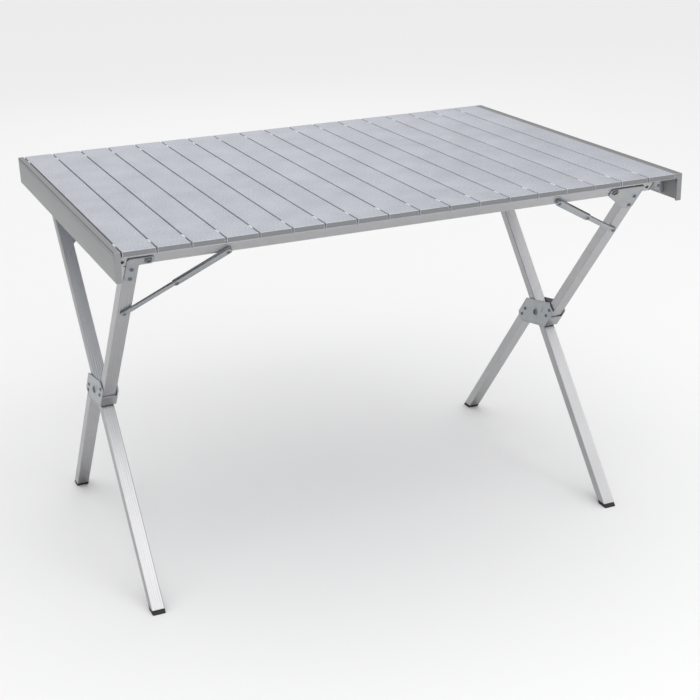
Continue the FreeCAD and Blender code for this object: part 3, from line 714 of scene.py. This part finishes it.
def plateLoops(outline, thick, bevel, rim):
    # A plate's skin: softened at both faces, with a shallow pressed field
    # inside a rim on the outer face. Heights run out from the back.
    stations = [(bevel, 0), (0, bevel), (0, thick - bevel), (bevel, thick)]
    if rim:
        stations += [(rim["wide"], thick), (rim["wide"] + rim["slope"], thick - rim["deep"])]
    return np.array([np.column_stack([insetLoop(outline, inset), np.full(len(outline), height)])
                     for inset, height in stations])


def makeHubs():
    # Two pressed cheeks and the web between them. Each cheek has a round boss
    # about the pin and one raised bar, an oval drawn out lengthways.
    hub = {"reach": 42.5, "narrow": 18, "step": 8, "tall": 62, "corner": 7, "arcPoints": 7,
           "inside": 12.9, "thick": 2.5, "bevel": 0.5}
    web = {"lap": 0.8, "clear": 1.5, "top": 40, "edge": 0.6, "arcPoints": 3}
    rim = {"wide": 2.2, "deep": 0.4, "slope": 0.5}
    bar = {"at": (-11, 25), "long": 14, "wide": 5, "points": 24, "squareness": 0.7,
           "profile": [(0, -0.2), (0.2, 0.5), (0.9, 0.85), (1.6, 0.95)]}
    reach, narrow, step, tall = hub["reach"], hub["narrow"], hub["step"], hub["tall"]
    angle = np.linspace(0, 2 * math.pi, bar["points"], endpoint=False)
    drawnOut = np.sign(np.cos(angle)) * np.abs(np.cos(angle)) ** bar["squareness"]
    for word in ("left", "right"):
        low, high = boxMm(f"hub_{word}")
        centre = (low[0] + high[0]) / 2
        corners = [(reach, -tall), (narrow, -tall), (-reach, step),
                   (-reach, tall), (-narrow, tall), (reach, -step)]
        outline = roundedLoop(corners, hub["corner"], hub["arcPoints"])
        parts = []
        spots = []
        for face in (-1, 1):
            loops = plateLoops(outline, hub["thick"], hub["bevel"], rim)
            x = centre + face * (hub["inside"] + loops[:, :, 2])
            cheek = np.stack([x, loops[:, :, 0], loops[:, :, 1]], -1)
            parts.append(skin("part", ladderPoint(1, cheek * mm)))
            outside = centre + face * (hub["inside"] + hub["thick"] - rim["deep"])
            spots.append(ladderPlace(1, (outside, 0, 0), (face, 0, 0)))
            ovals = []
            for shrink, height in bar["profile"]:
                y = bar["at"][0] + (bar["wide"] / 2 - shrink) * np.sin(angle)
                z = bar["at"][1] + (bar["long"] / 2 - shrink) * drawnOut
                ovals.append(np.stack([np.full(len(angle), outside + face * height), y, z], -1))
            parts.append(skin("part", ladderPoint(1, np.array(ovals) * mm)))
        parts.append(lathe("part", bossShape, spots))
        side, lower, upper = hub["inside"] + web["lap"], step + web["clear"], web["top"]
        webLoop = roundedLoop([(-side, lower), (side, lower), (side, upper), (-side, upper)],
                              web["edge"], web["arcPoints"])
        loops = plateLoops(webLoop, hub["thick"], hub["bevel"], None)
        y = -reach + hub["thick"] - loops[:, :, 2]
        placed = np.stack([centre + loops[:, :, 0], y, loops[:, :, 1]], -1)
        parts.append(skin("part", ladderPoint(1, placed * mm)))
        settle(joined(f"Hub_bracket_{word}", parts), "near_frame", zincSteel,
               [f"hub_{word}"])


# What the corner plates, braces and rivets share, in each ladder's own axes:
# where the legs and the plates' pivots are along X, and the mounting faces.
legX = {"left": -481.6, "right": 464.8}
pivotX = {"left": -456.5, "right": 413.8}
ladders = {
    "near": {"side": 1, "face": -40, "out": -1, "rail": 469.1, "body": "near_frame"},
    "far": {"side": -1, "face": 10, "out": 1, "rail": 443.8, "body": "far_frame"},
}
corner = {"thick": 2.5, "bevel": 0.4, "drop": 55.5, "rise": 8, "reach": 9.5, "eyelet": 10,
          "radius": 5, "arcPoints": 6, "highRivet": 21.3, "lowRivet": 47}
brace = {
    "left": {"along": 133.6, "down": 143, "knee": 0.445},
    "right": {"along": 115.8, "down": 118.8, "knee": 0.46},
    "railDrop": 5, "lap": 17, "end": 7,
}


def makeCornerPlates():
    # Flat pressings over each leg's top: an L at the left, and at the right
    # one whose lower edge runs straight from the leg to the pivot.
    rim = {"wide": 1.5, "deep": 0.45, "slope": 0.5}
    for frameWord, ladder in ladders.items():
        parts = []
        for word in ("left", "right"):
            leg, pivot, rail = legX[word], pivotX[word], ladder["rail"]
            inward = 1 if pivot > leg else -1
            outer = leg - inward * corner["reach"]
            inner = leg + inward * corner["reach"]
            far = pivot + inward * corner["eyelet"]
            lowEnd, under = rail - corner["drop"], rail - corner["eyelet"]
            top = rail + corner["rise"]
            corners = [(outer, lowEnd), (inner, lowEnd), (inner, under), (far, under),
                       (far, top), (outer, top)]
            if word == "right":
                corners.pop(2)
            outline = roundedLoop(corners, corner["radius"], corner["arcPoints"])
            loops = plateLoops(outline, corner["thick"], corner["bevel"], rim)
            y = ladder["face"] + ladder["out"] * loops[:, :, 2]
            placed = np.stack([loops[:, :, 0], y, loops[:, :, 1]], -1)
            parts.append(skin("part", ladderPoint(ladder["side"], placed * mm)))
        settle(joined(f"Corner_plates_{frameWord}", parts), ladder["body"], zincSteel,
               [f"{frameWord}_corner_plates"])


def bracePlace(ladder, word):
    # The brace's start at its rail, its unit direction to the leg, its length
    # and the place of its knee.
    leg, pivot, one = legX[word], pivotX[word], brace[word]
    inward = 1 if pivot > leg else -1
    start = np.array([pivot + inward * one["along"], ladder["rail"] - brace["railDrop"]])
    end = np.array([leg, start[1] - one["down"]])
    length = np.linalg.norm(end - start)
    return start, (end - start) / length, length, length * one["knee"]


def makeBraces():
    # Each link is a shallow channel with round ends: its outline rises from
    # the web's inner face, over the back, to the lips. The leg's link is the
    # slimmer one and lies inside the rail's.
    links = {"rail": {"wide": 13, "deep": 6, "lift": 0},
             "leg": {"wide": 9.8, "deep": 4, "lift": 0.5}}
    shape = {"wall": 1.3, "soft": 0.3, "arcPoints": 9, "roundIn": 0.35, "roundDown": 1.1,
             "heelIn": 0.1, "heelUp": 0.2}
    wall, roundIn, roundDown = shape["wall"], shape["roundIn"], shape["roundDown"]
    for frameWord, ladder in ladders.items():
        parts = []
        for word in ("left", "right"):
            start, way, length, knee = bracePlace(ladder, word)
            across = np.array([-way[1], way[0]])
            reach = brace["lap"] - brace["end"]
            spans = {"rail": (0, knee + reach), "leg": (knee - reach, length)}
            for kind, link in links.items():
                first, last = spans[kind][0] - brace["end"], spans[kind][1] + brace["end"]
                half, deep = link["wide"] / 2, link["deep"]
                outline = roundedLoop([(first, -half), (last, -half), (last, half), (first, half)],
                                      half - shape["soft"], shape["arcPoints"])
                stations = [(wall, deep - wall), (wall, 0), (shape["heelIn"], 0),
                            (0, shape["heelUp"]), (0, deep - roundDown),
                            (roundIn, deep - roundIn), (roundDown, deep)]
                loops = []
                for inset, height in stations:
                    flat = insetLoop(outline, inset)
                    plane = start + flat[:, :1] * way + flat[:, 1:] * across
                    out = ladder["out"] * (link["lift"] + height)
                    y = np.full(len(flat), ladder["face"] + out)
                    loops.append(np.stack([plane[:, 0], y, plane[:, 1]], -1))
                parts.append(skin("part", ladderPoint(ladder["side"], np.array(loops) * mm)))
        settle(joined(f"Braces_{frameWord}", parts), ladder["body"], zincSteel,
               [f"{frameWord}_braces"])


def makeRivets():
    # Small blind rivets in the plates, links and hubs, and larger ones at the
    # pivots and hub pins. Depths are measured out from the mounting face.
    depth = {"plate": 2.5, "railLink": 6, "legLink": 4.5}
    hub = {"outside": 15.4, "spread": 30, "near": 31, "far": 51}
    for frameWord, ladder in ladders.items():
        side, face, out = ladder["side"], ladder["face"], ladder["out"]
        small, large = [], []
        for word in ("left", "right"):
            leg, pivot, rail = legX[word], pivotX[word], ladder["rail"]
            plateFace = face + out * depth["plate"]
            for down in (corner["highRivet"], corner["lowRivet"]):
                small.append(ladderPlace(side, (leg, plateFace, rail - down), (0, out, 0)))
            large.append(ladderPlace(side, (pivot, plateFace, rail), (0, out, 0)))
            start, way, length, knee = bracePlace(ladder, word)
            reach = brace["lap"] - brace["end"]
            for along, layer in ((0, "railLink"), (length, "legLink"),
                                 (knee + reach, "railLink")):
                x, up = start + way * along
                at = (x, face + out * depth[layer], up)
                small.append(ladderPlace(side, at, (0, out, 0)))
            if frameWord == "near":
                for cheek in (-1, 1):
                    x = leg + cheek * hub["outside"]
                    large.append(ladderPlace(1, (x, 0, 0), (cheek, 0, 0)))
                    for half in (-1, 1):
                        for up in (hub["near"], hub["far"]):
                            at = (x, -half * hub["spread"], half * up)
                            small.append(ladderPlace(1, at, (cheek, 0, 0)))
        parts = [lathe("part", rivetShape, small), lathe("part", pivotShape, large)]
        settle(joined(f"Rivets_{frameWord}", parts), ladder["body"], rivetSteel,
               [f"{frameWord}_rivets"])


makeHubs()
makeCornerPlates()
makeBraces()
makeRivets()
print("steel made")


def makeStudio():
    # A pale paper floor, a sky that brightens upwards, two softboxes and the
    # camera. The standard view keeps the metals' contrast.
    stage = {"floorColour": "EAEAEA", "floorHalf": 30, "skySide": 0.13, "skyTop": 1.3,
             "fromHeight": 0.1, "toHeight": 0.8, "horizon": 0.86}
    bpy.context.scene.view_settings.view_transform = "Standard"
    mesh = bpy.data.meshes.new("Studio floor")
    half = stage["floorHalf"]
    mesh.from_pydata([(-half, -half, 0), (half, -half, 0), (half, half, 0), (-half, half, 0)],
                     [], [(0, 1, 2, 3)])
    floor = bpy.data.objects.new("Studio_floor", mesh)
    bpy.context.collection.objects.link(floor)
    paper = startMaterial("Pale studio paper", stage["floorColour"], 0.0, 0.9)[0]
    floor.data.materials.append(paper)

    world = bpy.data.worlds.new("Studio sky")
    bpy.context.scene.world = world
    world.use_nodes = True
    tree = world.node_tree
    place = addNode(tree, "ShaderNodeTexCoord")
    split = addNode(tree, "ShaderNodeSeparateXYZ", links={"Vector": place.outputs["Generated"]})
    ramp = addNode(tree, "ShaderNodeMapRange",
                   inputs={"From Min": stage["fromHeight"], "From Max": stage["toHeight"],
                           "To Min": stage["skySide"], "To Max": stage["skyTop"]},
                   links={"Value": split.outputs["Z"]})
    # The horizon is pale to look at, but dim as a light on the table's sides.
    seen = addNode(tree, "ShaderNodeLightPath")
    strength = addNode(tree, "ShaderNodeMix", inputs={"B": stage["horizon"]},
                       links={"Factor": seen.outputs["Is Camera Ray"], "A": ramp.outputs["Result"]})
    tree.links.new(strength.outputs["Result"], tree.nodes["Background"].inputs["Strength"])
    tree.nodes["Background"].inputs["Color"].default_value = (1, 1, 1, 1)

    lamps = {
        "Overhead_softbox": {"at": (0.1, -3.5, 3.4), "size": 4.8, "watts": 84, "aim": (0, 0, 0.4)},
        "Back_softbox": {"at": (1.0, 4.0, 2.4), "size": 2.6, "watts": 6, "aim": (0, 0, 0.4)},
    }
    for name, lamp in lamps.items():
        light = bpy.data.lights.new(name, "AREA")
        light.size = lamp["size"]
        light.energy = lamp["watts"]
        holder = bpy.data.objects.new(name, light)
        at = np.array(lamp["at"])
        to = np.array(lamp["aim"]) - at
        holder.location = at
        tilt = math.atan2(math.hypot(to[0], to[1]), -to[2])
        holder.rotation_euler = Euler((tilt, 0, math.atan2(to[1], to[0]) - math.pi / 2))
        bpy.context.collection.objects.link(holder)

    view = {"at": (-0.9868, -2.4216, 1.2987), "turn": (67.509, 1.658, -23.266),
            "lens": 71.764, "film": 36, "rise": 0.0715, "nearest": 0.05, "farthest": 100}
    camera = bpy.data.cameras.new("Camera")
    camera.sensor_width = view["film"]
    camera.lens = view["lens"]
    camera.shift_y = view["rise"]
    camera.clip_start = view["nearest"]
    camera.clip_end = view["farthest"]
    holder = bpy.data.objects.new("Camera", camera)
    holder.location = view["at"]
    holder.rotation_euler = [math.radians(value) for value in view["turn"]]
    bpy.context.collection.objects.link(holder)
    bpy.context.scene.camera = holder


makeStudio()
print("studio made")
